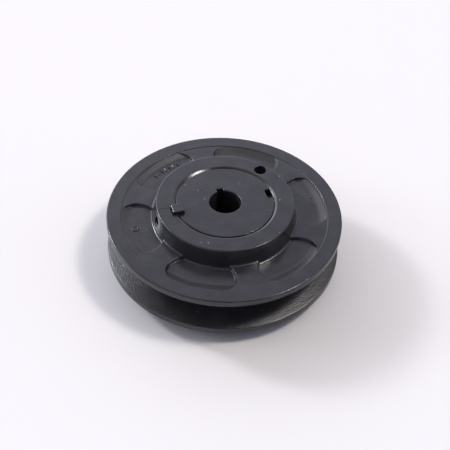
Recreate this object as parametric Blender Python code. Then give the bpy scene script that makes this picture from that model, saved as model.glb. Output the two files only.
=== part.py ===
"""Adjustable single-groove V-belt sheave: two cast halves, a square key and three setscrews.

Frame: metres, +Z along the shaft axis from the back boss towards the collar. The origin is on
the axis, in the plane of the back boss's end face, on which the sheave stands.
Angles are measured about +Z from +X.
"""
import math

import bmesh
import bpy
from mathutils import Matrix, Vector

MM = 0.001
INCH = 25.4 * MM
GAP = 0.3 * MM                      # left between pieces that touch
ROUND = 96                          # facets round a casting
SMALL_ROUND = 20                    # facets round a setscrew or its hole

# driving dimensions
OUTSIDE_DIAMETER = 6.5 * INCH
GROOVE_HALF_ANGLE = math.radians(18)
THREAD_PITCH = INCH / 16            # collar on hub
TURNS_OPEN = 4                      # how far the collar is backed off from closed
LAND = 4.7 * MM                     # thickness of each flange at its outside diameter
BORE_DIAMETER = 7 / 8 * INCH
KEY = 5 / 16 * INCH                 # the external key is square
KEY_LENGTH = 24 * MM
KEY_PROUD = 2.5 * MM
HUB_ANGLE = math.radians(19.6)      # the spare keyway; the key is opposite it
SETSCREW_DIAMETER = INCH / 4
SETSCREW_SOCKET = INCH / 8

# heights along the shaft axis
BACK_RIM_Z = 9.5 * MM
GROOVE_LOW_Z = BACK_RIM_Z + LAND
GROOVE_CLOSED = 16.35 * MM          # at the outside diameter, with the halves screwed together
GROOVE_WIDTH = GROOVE_CLOSED + TURNS_OPEN * THREAD_PITCH
GROOVE_HIGH_Z = GROOVE_LOW_Z + GROOVE_WIDTH
RIM_Z = GROOVE_HIGH_Z + LAND
COLLAR_RISE = 11.3 * MM             # the collar's face stands this far above the rim
HUB_SETBACK = 0.4 * MM              # the hub's face is this far below the collar's
COLLAR_Z = RIM_Z + COLLAR_RISE
HUB_Z = COLLAR_Z - HUB_SETBACK
KEY_TOP_Z = COLLAR_Z + KEY_PROUD

# radii
RIM_R = OUTSIDE_DIAMETER / 2
BORE_R = BORE_DIAMETER / 2
HUB_R = 34.3 * MM                   # crest of the hub's thread
COLLAR_BORE_R = HUB_R + GAP
COLLAR_R = 48 * MM
COLLAR_FOOT_R = 50.2 * MM
RIM_STEP_R = 72.6 * MM              # where the machined rim face drops to the cast web
FLAT_R = 58 * MM                    # the groove's slopes end here in flats
BOSS_R = 30 * MM
BOSS_FOOT = 2 * MM                  # chamfer between the boss and the web
MOUTH_RUN = 1.7 * MM                # shallow chamfer round the collar's bore
MOUTH_DEPTH = 1 * MM
EDGE = 0.5 * MM                     # broken edges
RIM_STEP = 0.4 * MM

# each flat is as far from its rim as the groove's slope runs down
SLOPE_DROP = (RIM_R - FLAT_R) * math.tan(GROOVE_HALF_ANGLE)
FIXED_FLAT_Z = GROOVE_LOW_Z + SLOPE_DROP
MOVING_FLAT_Z = GROOVE_HIGH_Z - SLOPE_DROP

# six kidney-shaped pockets in each web
POCKETS = 6
POCKET_ANGLE = math.radians(17.5)
POCKET_HALF_SPAN = math.radians(22.5)
POCKET_DEPTH = 2.2 * MM
POCKET_DRAFT = 2.5                  # run over drop of a pocket's outer slope
POCKET_END_OUT = 11 * MM            # how far a pocket's ends round off towards the rim
POCKET_END_IN = 5 * MM              # and towards the hub
POCKET_END_DRAFT = 0.8 * MM         # the floor is this much shorter at each end
POCKET_MARGIN = 0.6 * MM            # between a pocket and the step of the rim
BACK_POCKET_MARGIN = 6 * MM         # between a back pocket and the boss

KEY_ANGLE = HUB_ANGLE + math.pi
BORE_KEYWAY_ANGLE = HUB_ANGLE + math.pi / 2
BORE_KEYWAY_WIDTH = 3 / 16 * INCH
BORE_KEYWAY_DEPTH = 3 / 32 * INCH
KEYWAY_FLOOR_R = HUB_R - KEY / 2 - GAP
KEYWAY_END_Z = FIXED_FLAT_Z + 2.3 * MM
KEY_SLACK = GAP                     # between the key and each side of its slot
COLLAR_SCREW_Z = RIM_Z + 4.7 * MM
HUB_SCREW_Z = 4.95 * MM
HUB_SCREW_TIP_GAP = 1.5 * MM        # from the hub setscrew to the bore's keyway
SPANNER_HOLE_ANGLE = math.radians(55.4)
SPANNER_HOLE_PITCH_R = 42.1 * MM
SPANNER_HOLE_R = 4.35 * MM
SPANNER_HOLE_DEPTH = 14 * MM

SCREW_CUP = 0.8 * MM                # depth of a setscrew's cup point
SCREW_POINT = 1 * MM                # length of the taper to its rim
SCREW_CHAMFER = 0.4 * MM
CUT_PAST = 3 * MM                   # cutters run this far past the face that they open


def clear_scene():
    for thing in list(bpy.data.objects):
        bpy.data.objects.remove(thing, do_unlink=True)


def paint(name, colour, roughness, metallic):
    material = bpy.data.materials.new(name)
    material.use_nodes = True
    shader = material.node_tree.nodes["Principled BSDF"]
    shader.inputs["Base Color"].default_value = (*colour, 1)
    shader.inputs["Roughness"].default_value = roughness
    shader.inputs["Metallic"].default_value = metallic
    return material


def add_object(name, bm, material=None, smooth_angle=30):
    """Put a finished bmesh into the scene, with its faces pointing out."""
    bmesh.ops.recalc_face_normals(bm, faces=bm.faces)
    mesh = bpy.data.meshes.new(name)
    bm.to_mesh(mesh)
    bm.free()
    if material:
        mesh.materials.append(material)
    mesh.shade_smooth()
    mesh.set_sharp_from_angle(angle=math.radians(smooth_angle))
    thing = bpy.data.objects.new(name, mesh)
    bpy.context.collection.objects.link(thing)
    return thing


def turned(profile, steps=ROUND):
    """A closed ring turned about Z from a closed profile of (radius, height) points."""
    bm = bmesh.new()
    rings = []
    for step in range(steps):
        turn = 2 * math.pi * step / steps
        rings.append([bm.verts.new((r * math.cos(turn), r * math.sin(turn), z)) for r, z in profile])
    for step in range(steps):
        here = rings[step]
        there = rings[(step + 1) % steps]
        for i in range(len(profile)):
            j = (i + 1) % len(profile)
            bm.faces.new((here[i], there[i], there[j], here[j]))
    return bm


def cut(target, cutter):
    """Subtract the cutter from the target, and keep it in the scene as a wire guide."""
    cutter.hide_render = True
    cutter.display_type = "WIRE"
    modifier = target.modifiers.new(cutter.name, "BOOLEAN")
    modifier.operation = "DIFFERENCE"
    modifier.solver = "EXACT"
    modifier.object = cutter


def radial_box(name, angle, r_low, r_high, width, z_low, z_high):
    """A block whose long way runs out from the axis at an angle."""
    bm = bmesh.new()
    bmesh.ops.create_cube(bm, size=1)
    size = Vector((r_high - r_low, width, z_high - z_low))
    middle = Vector(((r_low + r_high) / 2, 0, (z_low + z_high) / 2))
    bmesh.ops.scale(bm, vec=size, verts=bm.verts)
    bmesh.ops.translate(bm, vec=middle, verts=bm.verts)
    bmesh.ops.rotate(bm, cent=(0, 0, 0), matrix=Matrix.Rotation(angle, 3, "Z"), verts=bm.verts)
    return add_object(name, bm)


def radial_drill(name, angle, r_low, r_high, radius, z):
    """A round bar that lies along a radius, for drilling setscrew holes."""
    bm = bmesh.new()
    bmesh.ops.create_cone(bm, cap_ends=True, segments=SMALL_ROUND, radius1=radius, radius2=radius,
                          depth=r_high - r_low)
    bmesh.ops.rotate(bm, cent=(0, 0, 0), matrix=Matrix.Rotation(math.pi / 2, 3, "Y"), verts=bm.verts)
    bmesh.ops.translate(bm, vec=((r_low + r_high) / 2, 0, z), verts=bm.verts)
    bmesh.ops.rotate(bm, cent=(0, 0, 0), matrix=Matrix.Rotation(angle, 3, "Z"), verts=bm.verts)
    return add_object(name, bm)


def pocket_outline(r_low, r_high, span_cut):
    """Points round one kidney-shaped pocket: two arcs about the shaft, and rounded ends.

    span_cut moves both ends in, so that a lower outline gives the ends their draft.
    """
    steps_end = 9
    steps_side = 8
    r_middle = (r_low + r_high) / 2
    half_width = (r_high - r_low) / 2
    points = []
    for i in range(steps_end):
        lean = -math.pi / 2 + math.pi * i / (steps_end - 1)
        r = r_middle + half_width * math.sin(lean)
        rounding = POCKET_END_OUT if lean > 0 else POCKET_END_IN
        back = rounding * (1 - math.cos(lean)) + span_cut
        points.append((r, POCKET_HALF_SPAN - back / r))
    outer_end = points[-1][1]
    for i in range(1, steps_side):
        points.append((r_high, outer_end * (1 - 2 * i / steps_side)))
    for r, angle in reversed(points[:steps_end]):
        points.append((r, -angle))
    inner_end = points[0][1]
    for i in range(1, steps_side):
        points.append((r_low, -inner_end * (1 - 2 * i / steps_side)))
    return points


def pocket_cutters(name, web_z, down, r_low, r_high):
    """Six pocket cutters in one object, sunk from a web face; down is -1 or +1 along Z."""
    above = 0.2 * MM
    mouth = pocket_outline(r_low, r_high + above * POCKET_DRAFT, 0)
    floor = pocket_outline(r_low + POCKET_END_DRAFT / 2, r_high - POCKET_DEPTH * POCKET_DRAFT,
                           POCKET_END_DRAFT)
    bm = bmesh.new()
    for index in range(POCKETS):
        middle = POCKET_ANGLE + index * 2 * math.pi / POCKETS
        levels = []
        for outline, z in ((mouth, web_z - down * above), (floor, web_z + down * POCKET_DEPTH)):
            ring = [bm.verts.new((r * math.cos(middle + a), r * math.sin(middle + a), z))
                    for r, a in outline]
            levels.append(ring)
        top, bottom = levels
        for i in range(len(top)):
            j = (i + 1) % len(top)
            bm.faces.new((top[i], top[j], bottom[j], bottom[i]))
        bm.faces.new(top)
        bm.faces.new(bottom)
    return add_object(name, bm)


def make_fixed_half(material):
    web_z = BACK_RIM_Z + RIM_STEP
    profile = [
        (BORE_R + EDGE, HUB_Z), (HUB_R - EDGE, HUB_Z), (HUB_R, HUB_Z - EDGE),
        (HUB_R, FIXED_FLAT_Z), (FLAT_R, FIXED_FLAT_Z),
        (RIM_R - EDGE, GROOVE_LOW_Z + EDGE * math.tan(GROOVE_HALF_ANGLE)),
        (RIM_R, GROOVE_LOW_Z - EDGE), (RIM_R, BACK_RIM_Z + EDGE), (RIM_R - EDGE, BACK_RIM_Z),
        (RIM_STEP_R, BACK_RIM_Z), (RIM_STEP_R, web_z), (BOSS_R + BOSS_FOOT, web_z),
        (BOSS_R, web_z - BOSS_FOOT), (BOSS_R, EDGE), (BOSS_R - EDGE, 0),
        (BORE_R + EDGE, 0), (BORE_R, EDGE), (BORE_R, HUB_Z - EDGE),
    ]
    half = add_object("fixed_half", turned(profile), material)
    cut(half, pocket_cutters("back_pocket_cutters", web_z, 1, BOSS_R + BACK_POCKET_MARGIN,
                             RIM_STEP_R - POCKET_MARGIN))
    # the outside keyways run from the hub's end face nearly down to the flange
    for name, angle in (("key_seat_cutter", KEY_ANGLE), ("spare_keyway_cutter", HUB_ANGLE)):
        cut(half, radial_box(name, angle, KEYWAY_FLOOR_R, HUB_R + CUT_PAST, KEY + 2 * KEY_SLACK,
                             KEYWAY_END_Z, HUB_Z + CUT_PAST))
    cut(half, radial_box("bore_keyway_cutter", BORE_KEYWAY_ANGLE, BORE_R / 2,
                         BORE_R + BORE_KEYWAY_DEPTH, BORE_KEYWAY_WIDTH, -CUT_PAST, HUB_Z + CUT_PAST))
    cut(half, radial_drill("hub_screw_hole_cutter", BORE_KEYWAY_ANGLE, BORE_R / 2, BOSS_R + CUT_PAST,
                           SETSCREW_DIAMETER / 2 + GAP, HUB_SCREW_Z))
    return half


def make_moving_half(material):
    web_z = RIM_Z - RIM_STEP
    profile = [
        (COLLAR_BORE_R + MOUTH_RUN, COLLAR_Z), (COLLAR_R - EDGE, COLLAR_Z),
        (COLLAR_R, COLLAR_Z - EDGE), (COLLAR_FOOT_R, web_z), (RIM_STEP_R, web_z),
        (RIM_STEP_R, RIM_Z), (RIM_R - EDGE, RIM_Z), (RIM_R, RIM_Z - EDGE),
        (RIM_R, GROOVE_HIGH_Z + EDGE),
        (RIM_R - EDGE, GROOVE_HIGH_Z - EDGE * math.tan(GROOVE_HALF_ANGLE)),
        (FLAT_R, MOVING_FLAT_Z), (COLLAR_BORE_R + EDGE, MOVING_FLAT_Z),
        (COLLAR_BORE_R, MOVING_FLAT_Z + EDGE), (COLLAR_BORE_R, COLLAR_Z - MOUTH_DEPTH),
    ]
    half = add_object("moving_half", turned(profile), material)
    cut(half, pocket_cutters("front_pocket_cutters", web_z, -1, COLLAR_FOOT_R + GAP,
                             RIM_STEP_R - POCKET_MARGIN))
    cut(half, radial_box("key_slot_cutter", KEY_ANGLE, HUB_R - KEY / 2, HUB_R + KEY / 2 + GAP,
                         KEY + 2 * KEY_SLACK, MOVING_FLAT_Z - CUT_PAST, COLLAR_Z + CUT_PAST))
    for name, angle in (("key_screw_hole_cutter", KEY_ANGLE), ("lock_screw_hole_cutter", HUB_ANGLE)):
        cut(half, radial_drill(name, angle, COLLAR_BORE_R - CUT_PAST, COLLAR_FOOT_R + CUT_PAST,
                               SETSCREW_DIAMETER / 2 + GAP, COLLAR_SCREW_Z))
    cut(half, spanner_hole_cutter())
    return half


def spanner_hole_cutter():
    bm = bmesh.new()
    bmesh.ops.create_cone(bm, cap_ends=True, segments=SMALL_ROUND, radius1=SPANNER_HOLE_R,
                          radius2=SPANNER_HOLE_R, depth=SPANNER_HOLE_DEPTH + CUT_PAST)
    bmesh.ops.translate(bm, verts=bm.verts, vec=(
        SPANNER_HOLE_PITCH_R * math.cos(SPANNER_HOLE_ANGLE),
        SPANNER_HOLE_PITCH_R * math.sin(SPANNER_HOLE_ANGLE),
        COLLAR_Z + (CUT_PAST - SPANNER_HOLE_DEPTH) / 2))
    return add_object("spanner_hole_cutter", bm)


def make_external_key(material):
    """A square bar with broken edges; its origin is on its own axis, at its foot."""
    bm = bmesh.new()
    bmesh.ops.create_cube(bm, size=1)
    bmesh.ops.scale(bm, vec=(KEY, KEY, KEY_LENGTH), verts=bm.verts)
    bmesh.ops.translate(bm, vec=(0, 0, KEY_LENGTH / 2), verts=bm.verts)
    bmesh.ops.bevel(bm, geom=bm.edges, offset=EDGE, segments=1, profile=0.5, affect="EDGES")
    key = add_object("external_key", bm, material)
    key.rotation_euler = (0, 0, KEY_ANGLE)
    key.location = (HUB_R * math.cos(KEY_ANGLE), HUB_R * math.sin(KEY_ANGLE), KEY_TOP_Z - KEY_LENGTH)
    return key


def make_setscrew(name, length, angle, tip_r, z, material):
    """A hexagon-socket setscrew with a cup point, its tip at the origin and pointing inwards."""
    radius = SETSCREW_DIAMETER / 2
    socket_depth = length * 0.45
    socket_r = SETSCREW_SOCKET / math.sqrt(3)
    bm = bmesh.new()
    stations = ((radius * 0.55, 0), (radius, SCREW_POINT), (radius, length - SCREW_CHAMFER),
                (radius - SCREW_CHAMFER, length))
    rings = []
    for r, along in stations:
        rings.append([bm.verts.new((along, r * math.cos(t), r * math.sin(t))) for t in
                      (2 * math.pi * i / SMALL_ROUND for i in range(SMALL_ROUND))])
    for low, high in zip(rings, rings[1:]):
        for i in range(SMALL_ROUND):
            j = (i + 1) % SMALL_ROUND
            bm.faces.new((low[i], low[j], high[j], high[i]))
    tip = bm.verts.new((SCREW_CUP, 0, 0))
    for i in range(SMALL_ROUND):
        bm.faces.new((rings[0][(i + 1) % SMALL_ROUND], rings[0][i], tip))
    bm.faces.new(rings[-1])
    screw = add_object(name, bm, material)
    hexagon = bmesh.new()
    bmesh.ops.create_cone(hexagon, cap_ends=True, segments=6, radius1=socket_r, radius2=socket_r,
                          depth=socket_depth * 2)
    bmesh.ops.rotate(hexagon, cent=(0, 0, 0), matrix=Matrix.Rotation(math.pi / 2, 3, "Y"),
                     verts=hexagon.verts)
    bmesh.ops.translate(hexagon, vec=(length, 0, 0), verts=hexagon.verts)
    socket = add_object(name + "_socket_cutter", hexagon)
    cut(screw, socket)
    for thing in (screw, socket):
        thing.rotation_euler = (0, 0, angle)
        thing.location = (tip_r * math.cos(angle), tip_r * math.sin(angle), z)
    return screw


def main():
    clear_scene()
    casting_paint = paint("casting_paint", (0.018, 0.019, 0.022), 0.42, 0.0)
    key_steel = paint("key_steel", (0.03, 0.031, 0.034), 0.38, 0.2)
    screw_steel = paint("screw_steel", (0.045, 0.045, 0.047), 0.35, 0.8)
    make_fixed_half(casting_paint)
    make_moving_half(casting_paint)
    make_external_key(key_steel)
    make_setscrew("key_setscrew", 5 / 16 * INCH, KEY_ANGLE, HUB_R + KEY / 2 + GAP,
                  COLLAR_SCREW_Z, screw_steel)
    make_setscrew("locking_setscrew", 5 / 8 * INCH, HUB_ANGLE, KEYWAY_FLOOR_R + GAP,
                  COLLAR_SCREW_Z, screw_steel)
    make_setscrew("hub_setscrew", 1 / 2 * INCH, BORE_KEYWAY_ANGLE,
                  BORE_R + BORE_KEYWAY_DEPTH + HUB_SCREW_TIP_GAP, HUB_SCREW_Z, screw_steel)


main()
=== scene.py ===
# Adjustable V-belt sheave in satin black paint: the castings, key and setscrews, on a pale floor.
import math

import bpy
import numpy as np
from mathutils import Matrix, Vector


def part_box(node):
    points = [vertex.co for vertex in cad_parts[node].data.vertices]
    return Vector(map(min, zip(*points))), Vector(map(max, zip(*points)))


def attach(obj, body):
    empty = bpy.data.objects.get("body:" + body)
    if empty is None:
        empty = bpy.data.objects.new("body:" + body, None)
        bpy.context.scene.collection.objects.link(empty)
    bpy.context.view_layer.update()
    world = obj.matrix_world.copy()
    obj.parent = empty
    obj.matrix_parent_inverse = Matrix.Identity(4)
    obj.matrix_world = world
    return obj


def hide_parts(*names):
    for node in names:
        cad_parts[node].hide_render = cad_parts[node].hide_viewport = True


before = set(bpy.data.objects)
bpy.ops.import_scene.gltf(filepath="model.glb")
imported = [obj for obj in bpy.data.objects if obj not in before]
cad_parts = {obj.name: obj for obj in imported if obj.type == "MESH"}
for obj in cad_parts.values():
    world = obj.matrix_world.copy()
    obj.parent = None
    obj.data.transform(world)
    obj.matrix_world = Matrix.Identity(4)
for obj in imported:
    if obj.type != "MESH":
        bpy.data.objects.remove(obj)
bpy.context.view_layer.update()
print("frame loaded:", ", ".join(sorted(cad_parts)))

mm = 0.001  # every length below is in millimetres, and becomes metres when a mesh is made
fixedLow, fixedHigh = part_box("fixed_half")
movingLow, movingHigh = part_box("moving_half")
keyLow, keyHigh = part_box("external_key")

# what both castings share
sheave = {
    "rimR": movingHigh.x / mm,
    "hubR": 34.3,  # crest of the collar thread
    "boreR": 11.1125,
    "hubAngle": 19.6,  # degrees from +X to the spare keyway
    "slope": math.tan(math.radians(18)),  # of the groove's sides
    "flatR": 58.0,  # the groove's sides end here
    "land": 4.7,
    "pitch": 1.5875,
    "threadDepth": 0.86,
    "pockets": 6,
    "pocketAngle": 17.5,
    "keySide": 7.9375,
    "gap": 0.3,  # between the key or a setscrew and what it bears on
    "keySlack": 0.5,  # how much wider than the key its slots are
    "columns": (14, 14, 5),  # of each half sector: on the pocket's floor, over its end wall, on the spoke
    "wallSpan": (1.4, 1.3),  # degrees inside and outside a pocket's end that the wall's columns cover
    "rowsPerTurn": 6,  # of a casting's thread
    "cutPast": 1.5,  # cutters run this far past the face that they open
    "sharpAngle": 38,  # edges that turn more than this many degrees stay sharp
}
keyAngle = sheave["hubAngle"] + 180
keywayAngle = sheave["hubAngle"] + 90
halfSector = 180 / sheave["pockets"]  # degrees from a pocket's middle to the middle of the next spoke


# 0 before x = 0, 1 after x = 1, and an S curve between
def ease(x):
    x = np.clip(x, 0, 1)
    return x * x * (3 - 2 * x)


# the lesser of a and b, with the corner between them rounded over a width k
def softLeast(a, b, k):
    mix = np.clip(0.5 + 0.5 * (b - a) / k, 0, 1)
    return b * (1 - mix) + a * mix - k * mix * (1 - mix)


# a path through (r, z, rounding) corners: straight runs joined by arcs that touch both sides,
# with a point close beside each arc and long runs divided evenly
def roundedPath(corners, arcSteps=4, beside=0.3, longest=4.0):
    spots = np.array([c[:2] for c in corners], float)
    arcs = []
    for i in range(1, len(spots) - 1):
        rounding = corners[i][2]
        toBefore = spots[i - 1] - spots[i]
        toAfter = spots[i + 1] - spots[i]
        toBefore /= np.linalg.norm(toBefore)
        toAfter /= np.linalg.norm(toAfter)
        half = math.acos(np.clip(toBefore @ toAfter, -1, 1)) / 2
        inward = (toBefore + toAfter) / np.linalg.norm(toBefore + toAfter)
        middle = spots[i] + inward * rounding / math.sin(half)
        spoke = spots[i] + toBefore * rounding / math.tan(half) - middle
        other = spots[i] + toAfter * rounding / math.tan(half) - middle
        sweep = math.atan2(spoke[0] * other[1] - spoke[1] * other[0], spoke @ other)
        turn = np.linspace(0, sweep, arcSteps + 1)[:, None]
        arcs.append(middle + np.cos(turn) * spoke + np.sin(turn) * np.array([-spoke[1], spoke[0]]))
    path = [spots[:1]]
    for arc in arcs + [spots[-1:]]:
        path.append(straightRun(path[-1][-1], arc[0], beside, longest))
        path.append(arc)
    return np.concatenate(path)


# the inner points of a straight run: one close to each end, the rest evenly between those
def straightRun(start, end, beside, longest):
    length = np.linalg.norm(end - start)
    if length < 3 * beside:
        return np.zeros((0, 2))
    steps = max(1, math.ceil((length - 2 * beside) / longest))
    along = np.linspace(beside, length - beside, steps + 1)[:, None]
    return start + (end - start) * along / length


# a mesh from grids of points (copies, rows, columns, xyz) in mm, each closed round its columns,
# and wrapped round or capped along its rows
def gridMesh(name, points, wrapRows=False, capRows=False):
    points = points.reshape(-1, *points.shape[-3:])
    copies, rows, columns = points.shape[:3]
    index = np.arange(copies * rows * columns).reshape(copies, rows, columns)
    if wrapRows:
        index = np.concatenate([index, index[:, :1]], 1)
    index = np.concatenate([index, index[:, :, :1]], 2)
    corners = [index[:, :-1, :-1], index[:, :-1, 1:], index[:, 1:, 1:], index[:, 1:, :-1]]
    quads = np.stack(corners, -1).reshape(-1, 4)
    faces = quads.tolist()
    if capRows:
        faces += index[:, 0, :-1].tolist() + index[:, -1, -2::-1].tolist()
    flat = points.reshape(-1, 3)
    a, b, c, d = (flat[quads[:, i]] - points[0, 0, 0] for i in range(4))
    volume = np.einsum("ij,ij->", a, np.cross(b, c)) + np.einsum("ij,ij->", a, np.cross(c, d))
    if volume < 0:  # the faces point inwards, so each is turned over
        faces = [face[::-1] for face in faces]
    mesh = bpy.data.meshes.new(name)
    mesh.from_pydata(flat * mm, [], faces)
    mesh.validate()
    mesh.shade_smooth()
    piece = bpy.data.objects.new(name, mesh)
    bpy.context.scene.collection.objects.link(piece)
    return piece


# turns a grid of radius, height and angle (degrees) into points
def aroundAxis(r, z, angle):
    r, z, turn = np.broadcast_arrays(r, z, np.radians(angle))
    return np.stack([r * np.cos(turn), r * np.sin(turn), z], -1)


# moves points from a local frame, X outwards along a radius, to an angle round the shaft
def turnTo(points, angle):
    c, s = math.cos(math.radians(angle)), math.sin(math.radians(angle))
    x, y, z = np.moveaxis(points, -1, 0)
    return np.stack([x * c - y * s, x * s + y * c, z], -1)


# every column's angle from the middle of its pocket, and that middle: close together by the pocket's ends
def castingColumns(web):
    end = web["halfSpan"]
    before, after = sheave["wallSpan"]
    onFloor, onWall, onSpoke = sheave["columns"]
    inside = np.linspace(0, end - before, onFloor)
    wall = np.linspace(end - before, end + after, onWall + 1)[1:]
    spoke = np.linspace(end + after, halfSector, onSpoke + 1)[1:]
    right = np.concatenate([inside, wall, spoke])
    sector = np.concatenate([-right[:0:-1], right[:-1]])
    middles = sheave["pocketAngle"] + np.arange(sheave["pockets"]) * 360 / sheave["pockets"]
    return np.tile(sector, len(middles)), np.repeat(middles, len(sector))


# half the angle that a pocket spans at a radius: drawn in by a quarter ellipse towards rim and hub
def pocketReach(r, web):
    middle = (web["rIn"] + web["rOut"]) / 2
    lean = np.clip((r - middle) / (web["rOut"] - middle), -0.97, 0.97)
    drawn = np.where(lean > 0, web["roundOut"], web["roundIn"]) * (1 - np.sqrt(1 - lean**2))
    return web["halfSpan"] - np.degrees(drawn / r)


# columns are evenly spaced but for the web, where they crowd at the pockets' ends and slide sideways,
# so that some lie along each curved end wall
def slideColumns(sector, r, web, amount=1.0):
    perSector = len(sector) // sheave["pockets"]
    even = np.tile(np.linspace(-halfSector, halfSector, perSector, endpoint=False), sheave["pockets"])
    inWeb = np.clip(r, web["rIn"] + 0.8, web["rOut"] - 1.5)
    away = np.abs(sector)
    end = web["halfSpan"]
    hold = ease(away / (end - 3)) * (1 - ease((away - end - 2) / (28 - end)))
    crowded = sector + np.sign(sector) * (pocketReach(inWeb, web) - end) * hold
    return even + (crowded - even) * amount * (1 - ease((r - web["rOut"] + 1.5) / 9))


# rows of radius, height and amount of sliding, joined into one grid each
def joinRows(rows, columns):
    r = np.concatenate([np.broadcast_to(radii, (len(radii), columns)) for radii, _, _ in rows])
    z = np.concatenate([np.broadcast_to(heights, (len(radii), columns)) for radii, heights, _ in rows])
    amount = np.concatenate([np.broadcast_to(slide, (len(radii), 1)) for radii, _, slide in rows])
    return r, z, amount


# how deep the pocket is: the least of its floor and its walls' slopes, with soft corners
def pocketDepth(r, sector, web):
    fromEnd = np.radians(pocketReach(r, web) - np.abs(sector)) * r
    share = softLeast(fromEnd / web["endRun"], (web["rOut"] - r) / web["rimRun"], web["wallSoft"])
    if web["hubRun"]:
        share = softLeast(share, (r - web["rIn"]) / web["hubRun"], web["wallSoft"])
    share = softLeast(share, 1.0, web["floorSoft"])
    return -softLeast(-share, 0.0, web["edgeSoft"]) * web["depth"]


# the slow unevenness of a sand casting: a few waves that don't repeat within one turn
def castWaver(r, angle, amount):
    turn = np.radians(angle)
    return amount * (np.sin(5 * turn + r * 0.31) + np.sin(11 * turn - r * 0.47 + 1.3)
                     + 0.6 * np.sin(23 * turn + r * 0.83 + 4.1)) / 2.6


# a screw thread's radius: a rounded wave that climbs one pitch in a turn, flattened at crest and root
def threadRadius(angle, z, crest, depth, pitch, sharpness=1.5):
    wave = np.tanh(sharpness * np.cos(2 * math.pi * z / pitch - np.radians(angle))) / math.tanh(sharpness)
    return crest - depth * (1 - wave) / 2


# a cutter from a stack of outlines, capped at both ends
def cutter(name, rings):
    piece = gridMesh(name, rings, capRows=True)
    piece.hide_render = True
    return piece


# how far a cutter widens as it nears the face it enters, so that the cut's edge comes out rounded:
# pairs of distance along its way and widening, along an arc that stops just short of the face's own plane
def roundedMouth(face, edge, beyond=sheave["cutPast"], steps=4):
    stop = math.radians(72)
    turn = np.linspace(0, stop, steps)
    along = face + edge * (np.sin(turn) - math.sin(stop))
    spread = edge * (1 - np.cos(turn))
    return np.append(along, face + beyond), np.append(spread, spread[-1] + 0.2)


# a rectangular slot along the shaft: an outline from rLow to rHigh, swept up through the levels
def slotCutter(name, angle, rLow, rHigh, width, levels, spreads):
    spread = np.asarray(spreads, float)[:, None]
    across = np.array([-1, 1, 1, -1]) * (width / 2 + spread)
    outward = np.where(np.array([0, 0, 1, 1]), rHigh + spread, rLow - spread)
    z = np.broadcast_to(np.asarray(levels, float)[:, None], across.shape)
    return cutter(name, turnTo(np.stack([outward, across, z], -1), angle))


# a round hole along a radius at a height
def drillCutter(name, angle, z, reaches, radii, sides=32):
    turn = np.linspace(0, 2 * math.pi, sides, endpoint=False)
    radius = np.asarray(radii, float)[:, None]
    x = np.broadcast_to(np.asarray(reaches, float)[:, None], (len(radii), sides))
    return cutter(name, turnTo(np.stack([x, radius * np.cos(turn), z + radius * np.sin(turn)], -1), angle))


# takes the cutters out of a casting, and keeps the result as its mesh
def carve(piece, cutters):
    group = bpy.data.collections.new(piece.name + "_cutters")
    for tool in cutters:
        group.objects.link(tool)
    boolean = piece.modifiers.new("carve", "BOOLEAN")
    boolean.operand_type = "COLLECTION"
    boolean.collection = group
    boolean.operation = "DIFFERENCE"
    boolean.solver = "EXACT"
    bpy.context.view_layer.update()
    done = piece.evaluated_get(bpy.context.evaluated_depsgraph_get())
    piece.data = bpy.data.meshes.new_from_object(done)
    piece.modifiers.clear()
    for tool in cutters:
        bpy.data.objects.remove(tool, do_unlink=True)
    bpy.data.collections.remove(group)


# marks the edges whose two faces meet at more than an angle, and steadies the flats' shading
def finishShading(piece, degrees):
    piece.data.shade_smooth()
    piece.data.set_sharp_from_angle(angle=math.radians(degrees))
    steady = piece.modifiers.new("steady", "WEIGHTED_NORMAL")
    steady.mode = "FACE_AREA"
    steady.keep_sharp = True
    steady.weight = 60


movingHalf = {
    "collarZ": movingHigh.z / mm,
    "collarR": 48.0,
    "collarTaper": 2.2 / 11.2,  # run outwards for each mm down
    "collarEdge": 0.75,
    "sideTop": 2.4,  # the collar's edge and its even rows meet this far down
    "boreTop": (36.2, 1.0),  # outer radius and depth of the chamfer round the thread
    "plainTop": 6.4,  # no thread this far down the bore, so that opening keeps clear of the hub's plain end
    "rimStepR": 72.4,
    "rimStep": 0.4,
    "flatZ": movingLow.z / mm,
    "footRound": 1.6,
    "edges": {"rim": 0.9, "groove": 0.5, "flat": 1.2},  # roundings of the rim's and the groove's corners
    "threadClear": 0.16,
    "waver": 0.07,
    "web": {"halfSpan": 22.5, "rIn": 50.5, "rOut": 72.0, "roundIn": 5.0, "roundOut": 11.0, "depth": 2.2,
            "endRun": 1.1, "rimRun": 5.3, "hubRun": None, "wallSoft": 0.25, "floorSoft": 0.28,
            "edgeSoft": 0.14},
    "cutR": 30,  # the key slot and the screw holes are cut outwards from here
    "slotEdge": 0.3,
    "screwZ": 46.3,
    "screwHoleR": 3.32,
    "screwHoleEdge": 0.45,
    "spannerAngle": 55.4,
    "spannerR": 42.1,
    "spannerHoleR": 4.35,
    "spannerHoleEdge": 0.35,
    "spannerDepth": 13.5,
    "spannerPoint": (0.4, 2.2),  # radius at the tip and height of the drill's cone
    "witnessLine": {"angle": 194.5, "reach": (38.8, 47.1), "width": 0.3, "depth": 0.2},
}


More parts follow.
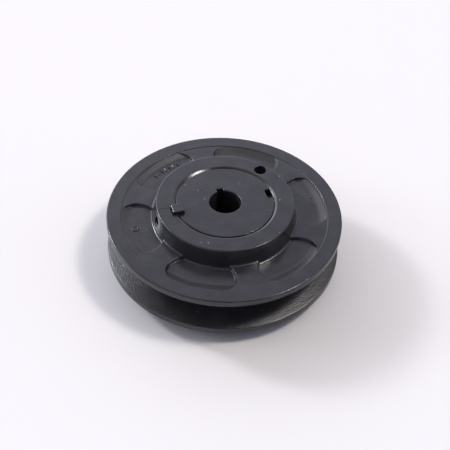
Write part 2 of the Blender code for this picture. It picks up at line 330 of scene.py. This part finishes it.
# the moving half as one grid: bore chamfer, collar face, collar side, web, rim, groove side, thread
def makeMovingHalf(part):
    web = part["web"]
    sector, middle = castingColumns(web)
    rimZ = part["flatZ"] + (sheave["rimR"] - sheave["flatR"]) * sheave["slope"] + sheave["land"]
    webZ = rimZ - part["rimStep"]
    boreR = sheave["hubR"] + part["threadClear"]
    mouthR, chamfer = part["boreTop"]
    sideStart = part["collarZ"] - part["sideTop"]
    sideR = part["collarR"] + part["sideTop"] * part["collarTaper"]
    top = roundedPath([(boreR, part["collarZ"] - chamfer - 0.3, 0), (boreR, part["collarZ"] - chamfer, 0.15),
                       (mouthR, part["collarZ"], 0.9), (part["collarR"], part["collarZ"], part["collarEdge"]),
                       (sideR, sideStart, 0)])
    rows = [(top[:, :1], top[:, 1:], 0.0)]

    # the collar's side runs down to the web, or to the pocket's floor, and turns out along a fillet
    foot = web["rIn"] + 1.2
    footSector = slideColumns(sector, foot, web)
    footZ = webZ - pocketDepth(foot, footSector, web)
    footZ = footZ + castWaver(foot, middle + footSector, part["waver"])
    roundZ = footZ + part["footRound"]
    lean = math.atan(part["collarTaper"])
    sideFootR = part["collarR"] + (part["collarZ"] - roundZ) * part["collarTaper"]
    roundR = sideFootR + part["footRound"] / math.cos(lean)
    down = np.linspace(0, 1, 8)[1:-1, None]
    tangentR = roundR - part["footRound"] * math.cos(lean)
    tangentZ = roundZ - part["footRound"] * math.sin(lean)
    rows.append((sideR + (tangentR - sideR) * down, sideStart + (tangentZ - sideStart) * down, down))
    swing = np.linspace(math.pi + lean, 1.5 * math.pi, 8)[:, None]
    rows.append((roundR + part["footRound"] * np.cos(swing), roundZ + part["footRound"] * np.sin(swing), 1.0))

    # the web, out to the rim step, with its rows closest on the pockets' outer slopes
    last = web["rOut"] - 0.15
    reach = np.concatenate([np.linspace(foot, 54, 5)[1:], np.linspace(55.2, 65.2, 9),
                            np.linspace(65.8, last, 16)])[:, None]
    webR = roundR + (last - roundR) * (reach - foot) / (last - foot)
    webSector = slideColumns(sector, webR, web)
    calm = 1 - ease((webR - web["rOut"] + 3) / 2.5)
    waver = castWaver(webR, middle + webSector, part["waver"]) * calm
    rows.append((webR, webZ - pocketDepth(webR, webSector, web) + waver, 1.0))

    # rim, outer land, groove side and flat
    grooveTop = rimZ - sheave["land"]
    edges = part["edges"]
    outer = roundedPath([(web["rOut"], webZ, 0), (part["rimStepR"] - 0.1, webZ, 0.12),
                         (part["rimStepR"] + 0.25, rimZ, 0.3),
                         (sheave["rimR"], rimZ, edges["rim"]), (sheave["rimR"], grooveTop, edges["groove"]),
                         (sheave["flatR"], part["flatZ"], edges["flat"]), (boreR + 0.6, part["flatZ"], 0.3),
                         (boreR, part["flatZ"] + 0.6, 0.2), (boreR, part["flatZ"] + 1.0, 0)])
    inward = np.arange(len(outer))[:, None] < np.argmax(outer[:, 0])
    rows.append((outer[:, :1], outer[:, 1:], inward))
    r, z, amount = joinRows(rows, len(sector))
    angle = middle + slideColumns(sector, r, web, amount)

    # the thread in the bore, from the bottom up; its rows keep to the same parts of the pitch as the hub's
    step = sheave["pitch"] / sheave["rowsPerTurn"]
    lowest, highest = part["flatZ"] + 1.2, part["collarZ"] - chamfer - 0.5
    threadZ = np.arange(math.ceil(lowest / step), highest / step)[:, None] * step
    straight = middle + slideColumns(sector, boreR, web, 0)
    threadTop = part["collarZ"] - part["plainTop"]
    fade = ease((threadZ - part["flatZ"] - 1.0) / 1.5) * ease((threadTop - threadZ) / 1.5)
    threadR = threadRadius(straight, threadZ, boreR, sheave["threadDepth"], sheave["pitch"])
    threadR = boreR + (threadR - boreR) * fade
    r = np.concatenate([r, threadR])
    z = np.concatenate([z, np.broadcast_to(threadZ, threadR.shape)])
    angle = np.concatenate([angle, np.broadcast_to(straight, threadR.shape)])
    return gridMesh("moving_half_casting", aroundAxis(r, z, angle), wrapRows=True)


# cuts the key slot, the two setscrew holes, the spanner hole and the witness line; every cutter widens
# along an arc where it meets its face
def carveMovingHalf(piece, part):
    face, spread = roundedMouth(part["collarZ"], part["slotEdge"])
    slotR = sheave["hubR"] + sheave["keySide"] / 2 + sheave["gap"]
    slot = slotCutter("key_slot", keyAngle, part["cutR"], slotR, sheave["keySide"] + sheave["keySlack"],
                      np.append(part["flatZ"] - 2, face), np.append(0, spread))

    sideR = part["collarR"] + (part["collarZ"] - part["screwZ"]) * part["collarTaper"]
    reach, widen = roundedMouth(sideR - 0.1, part["screwHoleEdge"], beyond=3)
    reach, radii = np.append(part["cutR"], reach), part["screwHoleR"] + np.append(0, widen)
    holes = [drillCutter(name, angle, part["screwZ"], reach, radii)
             for name, angle in (("key_screw_hole", keyAngle), ("lock_screw_hole", sheave["hubAngle"]))]

    turn = np.linspace(0, 2 * math.pi, 40, endpoint=False)
    face, spread = roundedMouth(part["collarZ"], part["spannerHoleEdge"])
    tipR, tipHeight = part["spannerPoint"]
    floorZ = part["collarZ"] - part["spannerDepth"]
    levels = np.append([floorZ, floorZ + tipHeight], face)[:, None]
    radius = np.append(tipR, part["spannerHoleR"] + np.append(0, spread))[:, None]
    hole = np.stack([part["spannerR"] + radius * np.cos(turn), radius * np.sin(turn), levels + 0 * turn], -1)
    spanner = cutter("spanner_hole", turnTo(hole, part["spannerAngle"]))

    line = part["witnessLine"]
    scribed = slotCutter("witness_line", line["angle"], *line["reach"], line["width"],
                         [part["collarZ"] - line["depth"], part["collarZ"] + 1], [0, 0.3])
    carve(piece, [slot, *holes, scribed, spanner])
    finishShading(piece, sheave["sharpAngle"])


fixedHalf = {
    "hubZ": fixedHigh.z / mm,
    "hubEdge": 0.5,
    "backRimZ": 9.5,
    "rimStepR": 72.4,
    "rimStep": 0.4,
    "bossR": 30.0,
    "bossRound": 1.8,
    "edges": {"rim": 0.6, "groove": 0.5, "flat": 1.2, "boss": 0.7},
    "waver": 0.06,
    "web": {"halfSpan": 22.5, "rIn": 36.0, "rOut": 72.0, "roundIn": 5.0, "roundOut": 11.0, "depth": 2.2,
            "endRun": 1.1, "rimRun": 5.3, "hubRun": 1.1, "wallSoft": 0.25, "floorSoft": 0.28,
            "edgeSoft": 0.14},
    "slotEdge": 0.25,
    "keywayFloorR": 30.03,
    "keywayEndZ": 24.48,
    "boreKeyway": (4.7625, 2.381),  # width and depth
    "backEdge": 0.2,
    "cutR": 6,  # the bore's keyway and the screw hole are cut outwards from here
    "screwZ": 4.95,
    "screwHoleR": 3.32,
    "screwHoleEdge": 0.4,
}


# the fixed half as one grid: hub face, thread, groove side, rim, back web, boss, bore
def makeFixedHalf(part):
    web = part["web"]
    sector, middle = castingColumns(web)
    straight = middle + slideColumns(sector, 0, web, 0)
    boreR = sheave["boreR"]
    grooveLow = part["backRimZ"] + sheave["land"]
    flatZ = grooveLow + (sheave["rimR"] - sheave["flatR"]) * sheave["slope"]
    face = roundedPath([(boreR, part["hubZ"] - 1.2, 0), (boreR, part["hubZ"] - 0.5, 0.15),
                        (boreR + 0.5, part["hubZ"], 0.18), (sheave["hubR"], part["hubZ"], part["hubEdge"]),
                        (sheave["hubR"], part["hubZ"] - 0.9, 0)])

    step = sheave["pitch"] / sheave["rowsPerTurn"]
    threadTop, threadFoot = part["hubZ"] - 1.0, flatZ + 1.6
    threadZ = np.arange(math.floor(threadTop / step), threadFoot / step, -1)[:, None] * step
    fade = ease((threadTop - threadZ) / 1.4) * ease((threadZ - threadFoot) / 1.4)
    threadR = threadRadius(straight, threadZ, sheave["hubR"], sheave["threadDepth"], sheave["pitch"])
    threadR = sheave["hubR"] + (threadR - sheave["hubR"]) * fade

    webZ = part["backRimZ"] + part["rimStep"]
    edges = part["edges"]
    outer = roundedPath([(sheave["hubR"], threadFoot - 0.1, 0), (sheave["hubR"], flatZ, 1.0),
                         (sheave["flatR"], flatZ, edges["flat"]),
                         (sheave["rimR"], grooveLow, edges["groove"]),
                         (sheave["rimR"], part["backRimZ"], edges["rim"]),
                         (part["rimStepR"] + 0.25, part["backRimZ"], 0.3),
                         (part["rimStepR"] - 0.1, webZ, 0.12), (web["rOut"], webZ, 0)])

    # the back web, in from the rim to the boss
    foot = part["bossR"] + part["bossRound"]
    webR = np.concatenate([np.linspace(web["rOut"] - 0.15, 65.8, 16), np.linspace(65, 40.5, 18),
                           np.linspace(39.5, 35.2, 12), np.linspace(34.2, foot + 0.1, 3)])[:, None]
    webSector = slideColumns(sector, webR, web)
    calm = (1 - ease((webR - web["rOut"] + 3) / 2.5)) * ease((webR - foot) / 4)
    waver = castWaver(webR, middle + webSector, part["waver"]) * calm
    webHeight = webZ + pocketDepth(webR, webSector, web) - waver

    boss = roundedPath([(foot, webZ, 0), (part["bossR"], webZ, part["bossRound"] - 0.05),
                        (part["bossR"], 0, edges["boss"]), (boreR + 0.5, 0, 0.18), (boreR, 0.5, 0.15),
                        (boreR, part["hubZ"] - 1.3, 0)], longest=12)
    backward = np.arange(len(outer))[:, None] > len(outer) - 1 - np.argmax(outer[::-1, 0])
    rows = [(face[:, :1], face[:, 1:], 0.0), (threadR, threadZ, 0.0),
            (outer[:, :1], outer[:, 1:], backward), (webR, webHeight, 1.0), (boss[:, :1], boss[:, 1:], 0.0)]
    r, z, amount = joinRows(rows, len(sector))
    amount = amount * ease((r[:, :1] - foot) / 3)
    angle = middle + slideColumns(sector, r, web, amount)
    return gridMesh("fixed_half_casting", aroundAxis(r, z, angle), wrapRows=True)


# cuts the two outside keyways, the bore's keyway and the setscrew hole, with the same widening mouths
def carveFixedHalf(piece, part):
    face, spread = roundedMouth(part["hubZ"], part["slotEdge"])
    levels, spreads = np.append(part["keywayEndZ"], face), np.append(0, spread)
    outside = [slotCutter(name, angle, part["keywayFloorR"], sheave["hubR"] + 3,
                          sheave["keySide"] + sheave["keySlack"], levels, spreads)
               for name, angle in (("key_seat", keyAngle), ("spare_keyway", sheave["hubAngle"]))]

    width, depth = part["boreKeyway"]
    back, widen = roundedMouth(0, part["backEdge"])
    inside = slotCutter("bore_keyway", keywayAngle, part["cutR"], sheave["boreR"] + depth, width,
                        np.concatenate([-back[::-1], face]), np.concatenate([widen[::-1], spread]))

    reach, widen = roundedMouth(part["bossR"] - 0.1, part["screwHoleEdge"], beyond=2)
    hole = drillCutter("hub_screw_hole", keywayAngle, part["screwZ"], np.append(part["cutR"], reach),
                       part["screwHoleR"] + np.append(0, widen))
    carve(piece, [*outside, inside, hole])
    finishShading(piece, sheave["sharpAngle"])


keyBar = {
    "edge": 0.85,
    "side": sheave["keySide"],
    "low": keyLow.z / mm,
    "high": keyHigh.z / mm,
    "endRows": 8,  # from each end to the nearest row of its plain middle
    "sharpAngle": 50,
}


# the key: a rounded square outline carried up the shaft, drawn in over a quarter round at both ends
def makeKey(part):
    half, edge = part["side"] / 2, part["edge"]
    turn = np.radians(np.add.outer(np.arange(4) * 90, np.linspace(0, 90, 6))).ravel()
    corner = np.repeat(np.radians(np.arange(4) * 90 + 45), 6)
    sweep = np.linspace(0, math.pi / 2, 6)
    inset = np.concatenate([edge * (1 - np.sin(sweep)), [0, 0], edge * (1 - np.cos(sweep))])[:, None]
    plain = [part["low"] + part["endRows"], part["high"] - part["endRows"]]
    z = np.concatenate([part["low"] + edge * (1 - np.cos(sweep)), plain,
                        part["high"] - edge * (1 - np.sin(sweep))])[:, None]
    x = np.sign(np.cos(corner)) * (half - edge) + (edge - inset) * np.cos(turn)
    y = np.sign(np.sin(corner)) * (half - edge) + (edge - inset) * np.sin(turn)
    points = np.stack([sheave["hubR"] + x, y, z + 0 * x], -1)
    piece = gridMesh("square_key", turnTo(points, keyAngle), capRows=True)
    finishShading(piece, part["sharpAngle"])
    return piece


setscrew = {
    "radius": 3.175,
    "neck": 0.3,  # the plain ends are this far below the thread's crest
    "pitch": 1.27,
    "threadDepth": 0.6,
    "socket": 3.175,
    "socketShare": 0.45,  # of the length
    "columns": 60,
    "sharpAngle": 42,
    # each screw's name and body: length, angle, radius of its point, height, CAD node
    "places": {
        "key_screw": (7.9375, keyAngle, sheave["hubR"] + sheave["keySide"] / 2 + sheave["gap"],
                      movingHalf["screwZ"], "key_setscrew"),
        "lock_screw": (15.875, sheave["hubAngle"], fixedHalf["keywayFloorR"] + sheave["gap"],
                       movingHalf["screwZ"], "locking_setscrew"),
        "hub_screw": (12.7, keywayAngle, sheave["boreR"] + fixedHalf["boreKeyway"][1] + 1.5,
                      fixedHalf["screwZ"], "hub_setscrew"),
    },
}


# a setscrew along a radius: cup point, thread, end chamfer, then in and down the hexagon socket
def makeSetscrew(name, length, angle, tipR, z, part):
    columns = np.linspace(0, 360, part["columns"], endpoint=False)
    radius, plainR = part["radius"], part["radius"] - part["neck"]
    point = roundedPath([(0.05, 0.75, 0), (radius * 0.55, 0, 0.12), (radius - 0.35, 0.95, 0.3),
                         (plainR, 1.2, 0)], longest=0.7)
    threadX = np.arange(1.3, length - 0.75, part["pitch"] / 8)[:, None]
    fade = ease((threadX - 1.2) / 0.8) * ease((length - 0.6 - threadX) / 0.8)
    threadR = threadRadius(columns, threadX, radius, part["threadDepth"], part["pitch"])
    threadR = plainR + (threadR - plainR) * fade
    end = roundedPath([(plainR, length - 0.6, 0), (plainR, length - 0.5, 0.2), (radius - 0.75, length, 0.15),
                       (part["socket"] * 0.7, length, 0)])

    # the socket's rows: distance in from the end, and share of the hexagon's size
    floor = length * part["socketShare"]
    socket = np.array([(0, 1.06), (0.12, 1.0), (floor - 0.1, 1.0), (floor, 0.97), (floor + 0.2, 0.5),
                       (floor + 0.35, 0.04)])
    hexagon = part["socket"] / 2 / np.cos(np.radians((columns + 30) % 60 - 30))
    r = np.concatenate([point[:, :1] + 0 * columns, threadR, end[:, :1] + 0 * columns,
                        hexagon * socket[:, 1:]])
    x = np.concatenate([point[:, 1:], threadX, end[:, 1:], length - socket[:, :1]])
    turn = np.radians(columns)
    points = np.stack([tipR + x + 0 * r, r * np.cos(turn), z + r * np.sin(turn)], -1)
    piece = gridMesh(name, turnTo(points, angle), capRows=True)
    finishShading(piece, part["sharpAngle"])
    return piece


# plain raised marks: radius, angle, half length, half width, height, and the degrees that the length
# leans from the radius
marks = {
    "pocketStrokes": [(63.2, 126 + 3.1 * i, 1.5, 0.55, 0.55, 12 * (-1) ** i) for i in range(7)],
    "pocketPips": [(64.6, 15.5, 0.3, 0.7, 0.5, 0), (63.9, 18.2, 0.9, 0.5, 0.5, 60),
                   (65.0, 20.6, 0.3, 0.7, 0.5, 0)],
    "pocketRing": (63.6, 196.4, 2.1, 0.5),  # radius, angle, and the ring's own two radii
    "hubPips": [(21.5 + 1.7 * (i % 2), 112 + 8.5 * i, 0.25 * (i % 3), 0.33, 0.16, 30 * i)
                for i in range(13)],
    "collarPips": [(40.2, 300.8, 0.5, 0.3, 0.15, 40), (39.6, 303.2, 0.2, 0.35, 0.15, 0)],
}


# low rounded strokes: a circle's quarter round, pulled out to both sides by the half length
def makeStrokes(name, strokes, surface):
    r, angle, half, width, height, lean = (np.array(v, float)[:, None, None] for v in zip(*strokes))
    turn = np.linspace(0, 2 * math.pi, 18, endpoint=False)
    rise = np.radians([-25, 0, 25, 48, 68, 84])[:, None]
    x = np.sign(np.round(np.cos(turn), 6)) * half + width * np.cos(rise) * np.cos(turn)
    y = width * np.cos(rise) * np.sin(turn)
    z = surface + height * np.sin(rise) + 0 * x
    c, s = np.cos(np.radians(lean)), np.sin(np.radians(lean))
    out, across = r + x * c - y * s, x * s + y * c
    c, s = np.cos(np.radians(angle)), np.sin(np.radians(angle))
    return gridMesh(name, np.stack([out * c - across * s, out * s + across * c, z], -1), capRows=True)


# a low raised ring: a small circle carried round a larger one
def makeRing(name, ring, surface):
    r, angle, major, minor = ring
    around = np.linspace(0, 2 * math.pi, 40, endpoint=False)
    about = np.linspace(0, 2 * math.pi, 14, endpoint=False)[:, None]
    out = r + (major + minor * np.cos(about)) * np.cos(around)
    across = (major + minor * np.cos(about)) * np.sin(around)
    z = surface + minor * np.sin(about) + 0 * out
    return gridMesh(name, turnTo(np.stack([out, across, z], -1), angle), wrapRows=True)


# one node of a material, with its settings and the values or links of its inputs
def addNode(material, kind, inputs=None, **settings):
    node = material.node_tree.nodes.new("ShaderNode" + kind)
    for name, value in settings.items():
        setattr(node, name, value)
    for name, value in (inputs or {}).items():
        if isinstance(value, bpy.types.NodeSocket):
            material.node_tree.links.new(value, node.inputs[name])
        else:
            node.inputs[name].default_value = value
    return node


# a number worked out from others
def mathNode(material, operation, *values):
    return addNode(material, "Math", dict(enumerate(values)), operation=operation).outputs[0]


# a number carried evenly from one range to another, and held at its ends
def rangeNode(material, value, start, end, low=0.0, high=1.0):
    inputs = {"Value": value, "From Min": start, "From Max": end, "To Min": low, "To Max": high}
    return addNode(material, "MapRange", inputs).outputs[0]


# 1 inside a band and 0 outside: it rises from the first place (mm) to the second, and falls from the
# third to the last
def bandNode(material, value, start, up, falling, end):
    rising = rangeNode(material, value, start * mm, up * mm)
    return mathNode(material, "MULTIPLY", rising, rangeNode(material, value, end * mm, falling * mm))


# a cloudy noise from 0 to 1, from its count to the metre and its detail
def noiseNode(material, place, count, detail):
    return addNode(material, "TexNoise", {"Vector": place, "Scale": count, "Detail": detail}).outputs["Fac"]


# two colours mixed by a factor
def mixNode(material, factor, a, b):
    inputs = {"Factor": factor, "A": a, "B": b}
    return addNode(material, "Mix", inputs, data_type="RGBA").outputs["Result"]


# an empty material and its shader
def newMaterial(name):
    material = bpy.data.materials.new(name)
    material.use_nodes = True
    return material, material.node_tree.nodes["Principled BSDF"]


castingPaint = {
    "colour": (0.0165, 0.0168, 0.0195, 1),
    "thin": (0.026, 0.026, 0.0295, 1),  # where the paint is thin
    "mottle": (90.0, 3.0),  # for each noise, its count to the metre and its detail
    "broad": (22.0, 2.0),
    "grain": (1000.0, 2.5),
    "peel": (420.0, 1.0),
    "thinFrom": (0.35, 0.7),  # of the mottle
    "roughness": (0.17, 0.25),
    "slopeRoughness": 0.22,  # added on the pockets' outer slopes, which stay as cast
    "grooveRoughness": 0.1,  # added in the groove
    "grainRise": (0.03, 0.3),  # mm, outside and inside the groove
    "peelRise": 0.06,
    "slopeR": (65.8, 66.8, 71.4, 72.2),  # the slopes' band of radii
    "slopeZ": (1.5, 2, 3.9, 4.2),  # and of heights above the groove's upper edge
    "dust": (0.42, 0.42, 0.44, 1),
    "dustCells": 210.0,  # to the metre
    "dustSpeck": (0.085, 0.045),  # a speck's faint and full edges, as shares of a cell
    "dustFrom": 0.88,  # only cells whose random number is above this hold one
}


# satin paint on a casting: mottled tone and gloss, fine grain, a rougher groove, and a few specks of dust
def makePaint(name, values, grooveLow, grooveHigh, grooveR):
    material, shader = newMaterial(name)
    place = addNode(material, "TexCoord").outputs["Object"]
    mottle, broad, grain, peel = (noiseNode(material, place, *values[noise])
                                  for noise in ("mottle", "broad", "grain", "peel"))

    # the groove and the slopes are told by the distance to the axis and the height
    x, y, z = addNode(material, "SeparateXYZ", {0: place}).outputs
    flat = addNode(material, "CombineXYZ", {0: x, 1: y}).outputs[0]
    radius = addNode(material, "VectorMath", {0: flat}, operation="LENGTH").outputs["Value"]
    outside = rangeNode(material, radius, (grooveR - 3) * mm, grooveR * mm)
    between = bandNode(material, z, grooveLow - 0.2, grooveLow + 0.4, grooveHigh - 0.4, grooveHigh + 0.2)
    inGroove = mathNode(material, "MULTIPLY", between, outside)
    slopeBand = bandNode(material, radius, *values["slopeR"])
    slopeLevel = bandNode(material, z, *(grooveHigh + level for level in values["slopeZ"]))
    onSlope = mathNode(material, "MULTIPLY", slopeBand, slopeLevel)

    # dust: a few cells of a cell pattern hold one small speck each
    cells = addNode(material, "TexVoronoi", {"Vector": place, "Scale": values["dustCells"]})
    speck = rangeNode(material, cells.outputs["Distance"], *values["dustSpeck"])
    chance = addNode(material, "SeparateColor", {0: cells.outputs["Color"]}).outputs[0]
    chosen = mathNode(material, "GREATER_THAN", chance, values["dustFrom"])
    dust = mathNode(material, "MULTIPLY", speck, chosen)

    tone = rangeNode(material, mottle, *values["thinFrom"])
    colour = mixNode(material, tone, values["colour"], values["thin"])
    dusted = mixNode(material, dust, colour, values["dust"])
    gloss = rangeNode(material, broad, 0.1, 0.9, *values["roughness"])
    slopes = mathNode(material, "MULTIPLY_ADD", onSlope, values["slopeRoughness"], gloss)
    roughness = mathNode(material, "MULTIPLY_ADD", inGroove, values["grooveRoughness"], slopes)

    grainRise = rangeNode(material, inGroove, 0.0, 1.0, *values["grainRise"])
    grainHeight = mathNode(material, "MULTIPLY", grain, grainRise)
    height = mathNode(material, "ADD", grainHeight, mathNode(material, "MULTIPLY", peel, values["peelRise"]))
    bump = addNode(material, "Bump", {"Height": height, "Strength": 1.0, "Distance": mm})
    links = material.node_tree.links
    links.new(dusted, shader.inputs["Base Color"])
    links.new(roughness, shader.inputs["Roughness"])
    links.new(bump.outputs["Normal"], shader.inputs["Normal"])
    shader.inputs["IOR"].default_value = 1.5
    return material


screwSteel = {
    "colour": (0.05, 0.048, 0.047, 1),
    "metallic": 0.85,
    "noise": (900.0, 3.0),
    "roughness": (0.3, 0.45),
    "rise": (0.5, 0.02),  # strength, and height in mm
}


# black oxide: a dark metal with slightly uneven gloss
def makeOxide(name, values):
    material, shader = newMaterial(name)
    place = addNode(material, "TexCoord").outputs["Object"]
    noise = noiseNode(material, place, *values["noise"])
    gloss = rangeNode(material, noise, 0.35, 0.65, *values["roughness"])
    strength, rise = values["rise"]
    bump = addNode(material, "Bump", {"Height": noise, "Strength": strength, "Distance": rise * mm})
    material.node_tree.links.new(gloss, shader.inputs["Roughness"])
    material.node_tree.links.new(bump.outputs["Normal"], shader.inputs["Normal"])
    shader.inputs["Base Color"].default_value = values["colour"]
    shader.inputs["Metallic"].default_value = values["metallic"]
    return material


studio = {
    "floorColour": (0.70, 0.69, 0.695, 1),
    "floorRoughness": 0.9,
    "floorReach": 3.0,  # metres from the middle to each side
    "softboxes": [  # azimuth and elevation in degrees, how tight, and radiance
        (6, 61, 320, (70.0, 66.0, 63.0)),
        (0, 58, 60, (2.2, 2.0, 1.9)),
        (60, 76, 90, (2.6, 2.4, 2.1)),
        (152, 28, 320, (84.0, 85.0, 92.0)),
        (148, 34, 60, (3.5, 3.7, 4.2)),
        (178, 20, 90, (9.0, 9.5, 11.0)),
        (0, 12, 8, (1.3, 1.35, 1.6)),
        (60, 12, 8, (0.8, 0.8, 0.85)),
        (120, 12, 8, (2.7, 2.65, 2.9)),
        (90, 45, 8, (0.41, 0.41, 0.58)),
        (210, 45, 8, (0.85, 0.8, 0.6)),
        (240, 12, 8, (0.2, 0.2, 0.7)),
    ],
}


# the room's light is a sum of soft round lobes, each the exponential of how far a direction is from
# its middle; the floor is one pale square
def makeStudio(values):
    scene = bpy.context.scene
    world = bpy.data.worlds.new("studio")
    world.use_nodes = True
    way = addNode(world, "TexCoord").outputs["Generated"]
    light = None
    for azimuth, elevation, tight, radiance in values["softboxes"]:
        turn, rise = math.radians(azimuth), math.radians(elevation)
        middle = (math.cos(rise) * math.cos(turn), math.cos(rise) * math.sin(turn), math.sin(rise))
        near = addNode(world, "VectorMath", {0: way, 1: middle}, operation="DOT_PRODUCT").outputs["Value"]
        lobe = mathNode(world, "EXPONENT", mathNode(world, "MULTIPLY_ADD", near, tight, -tight))
        tinted = addNode(world, "VectorMath", {0: radiance, "Scale": lobe}, operation="SCALE").outputs[0]
        if light:
            tinted = addNode(world, "VectorMath", {0: light, 1: tinted}, operation="ADD").outputs[0]
        light = tinted
    world.node_tree.links.new(light, world.node_tree.nodes["Background"].inputs["Color"])
    scene.world = world
    scene.view_settings.view_transform = "Standard"
    reach = values["floorReach"]
    corners = [(-reach, -reach, 0), (reach, -reach, 0), (reach, reach, 0), (-reach, reach, 0)]
    floorMesh = bpy.data.meshes.new("floor")
    floorMesh.from_pydata(corners, [], [(0, 1, 2, 3)])
    floor = bpy.data.objects.new("floor", floorMesh)
    scene.collection.objects.link(floor)
    material, shader = newMaterial("pale_floor")
    shader.inputs["Base Color"].default_value = values["floorColour"]
    shader.inputs["Roughness"].default_value = values["floorRoughness"]
    floorMesh.materials.append(material)


shot = {
    "elevation": 44.73,
    "roll": 3.08,
    "distance": 701.6,
    "aim": (0.75, -8.48),  # right and up from the middle of the rim's face
    "lens": 80.0,
    "sensor": 36.0,
}


# the camera looks down at the middle of the rim's face, turned a little about its own line of sight
def makeCamera(values):
    up, roll = math.radians(values["elevation"]), math.radians(values["roll"])
    back = np.array([0, -math.cos(up), math.sin(up)])
    side = np.array([1.0, 0, 0])
    rise = np.array([0, math.sin(up), math.cos(up)])
    rimZ = movingHalf["flatZ"] + (sheave["rimR"] - sheave["flatR"]) * sheave["slope"] + sheave["land"]
    aim = np.array([0, 0, rimZ]) + values["aim"][0] * side + values["aim"][1] * rise
    eye = (aim + back * values["distance"]) * mm
    across = math.cos(roll) * side + math.sin(roll) * rise
    above = -math.sin(roll) * side + math.cos(roll) * rise
    camera = bpy.data.objects.new("camera", bpy.data.cameras.new("camera"))
    bpy.context.scene.collection.objects.link(camera)
    camera.data.lens = values["lens"]
    camera.data.sensor_width = values["sensor"]
    camera.data.clip_start = 0.01
    columns = np.stack([across, above, back, eye], 1)
    camera.matrix_world = Matrix([*columns.tolist(), [0, 0, 0, 1]])
    bpy.context.scene.camera = camera


# a piece gets its material and its body, and the CAD node that it replaces is hidden
def dress(piece, material, body, node=None):
    piece.data.materials.clear()
    piece.data.materials.append(material)
    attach(piece, body)
    if node:
        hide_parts(node)


makeCamera(shot)
makeStudio(studio)
print("studio ready")

grooveLow = fixedHalf["backRimZ"] + sheave["land"]
grooveHigh = movingHalf["flatZ"] + (sheave["rimR"] - sheave["flatR"]) * sheave["slope"]
paint = makePaint("satin_black_paint", castingPaint, grooveLow, grooveHigh, sheave["flatR"])
oxide = makeOxide("screw_oxide", screwSteel)

moving = makeMovingHalf(movingHalf)
carveMovingHalf(moving, movingHalf)
dress(moving, paint, "moving", "moving_half")
print("moving half:", len(moving.data.polygons), "faces")

fixed = makeFixedHalf(fixedHalf)
carveFixedHalf(fixed, fixedHalf)
dress(fixed, paint, "fixed", "fixed_half")
print("fixed half:", len(fixed.data.polygons), "faces")

pocketFloor = grooveHigh + sheave["land"] - movingHalf["rimStep"] - movingHalf["web"]["depth"]
pocketMarks = [
    makeStrokes("pocket_strokes", marks["pocketStrokes"], pocketFloor),
    makeStrokes("pocket_pips", marks["pocketPips"], pocketFloor),
    makeRing("pocket_ring", marks["pocketRing"], pocketFloor),
]
collarPips = makeStrokes("collar_pips", marks["collarPips"], movingHalf["collarZ"])
for mark in pocketMarks + [collarPips]:
    dress(mark, paint, "moving")
dress(makeStrokes("hub_pips", marks["hubPips"], fixedHalf["hubZ"]), paint, "fixed")
print("cast marks ready")

dress(makeKey(keyBar), paint, "key", "external_key")
for name, (*place, node) in setscrew["places"].items():
    dress(makeSetscrew(name, *place, setscrew), oxide, name, node)
print("key and setscrews ready")
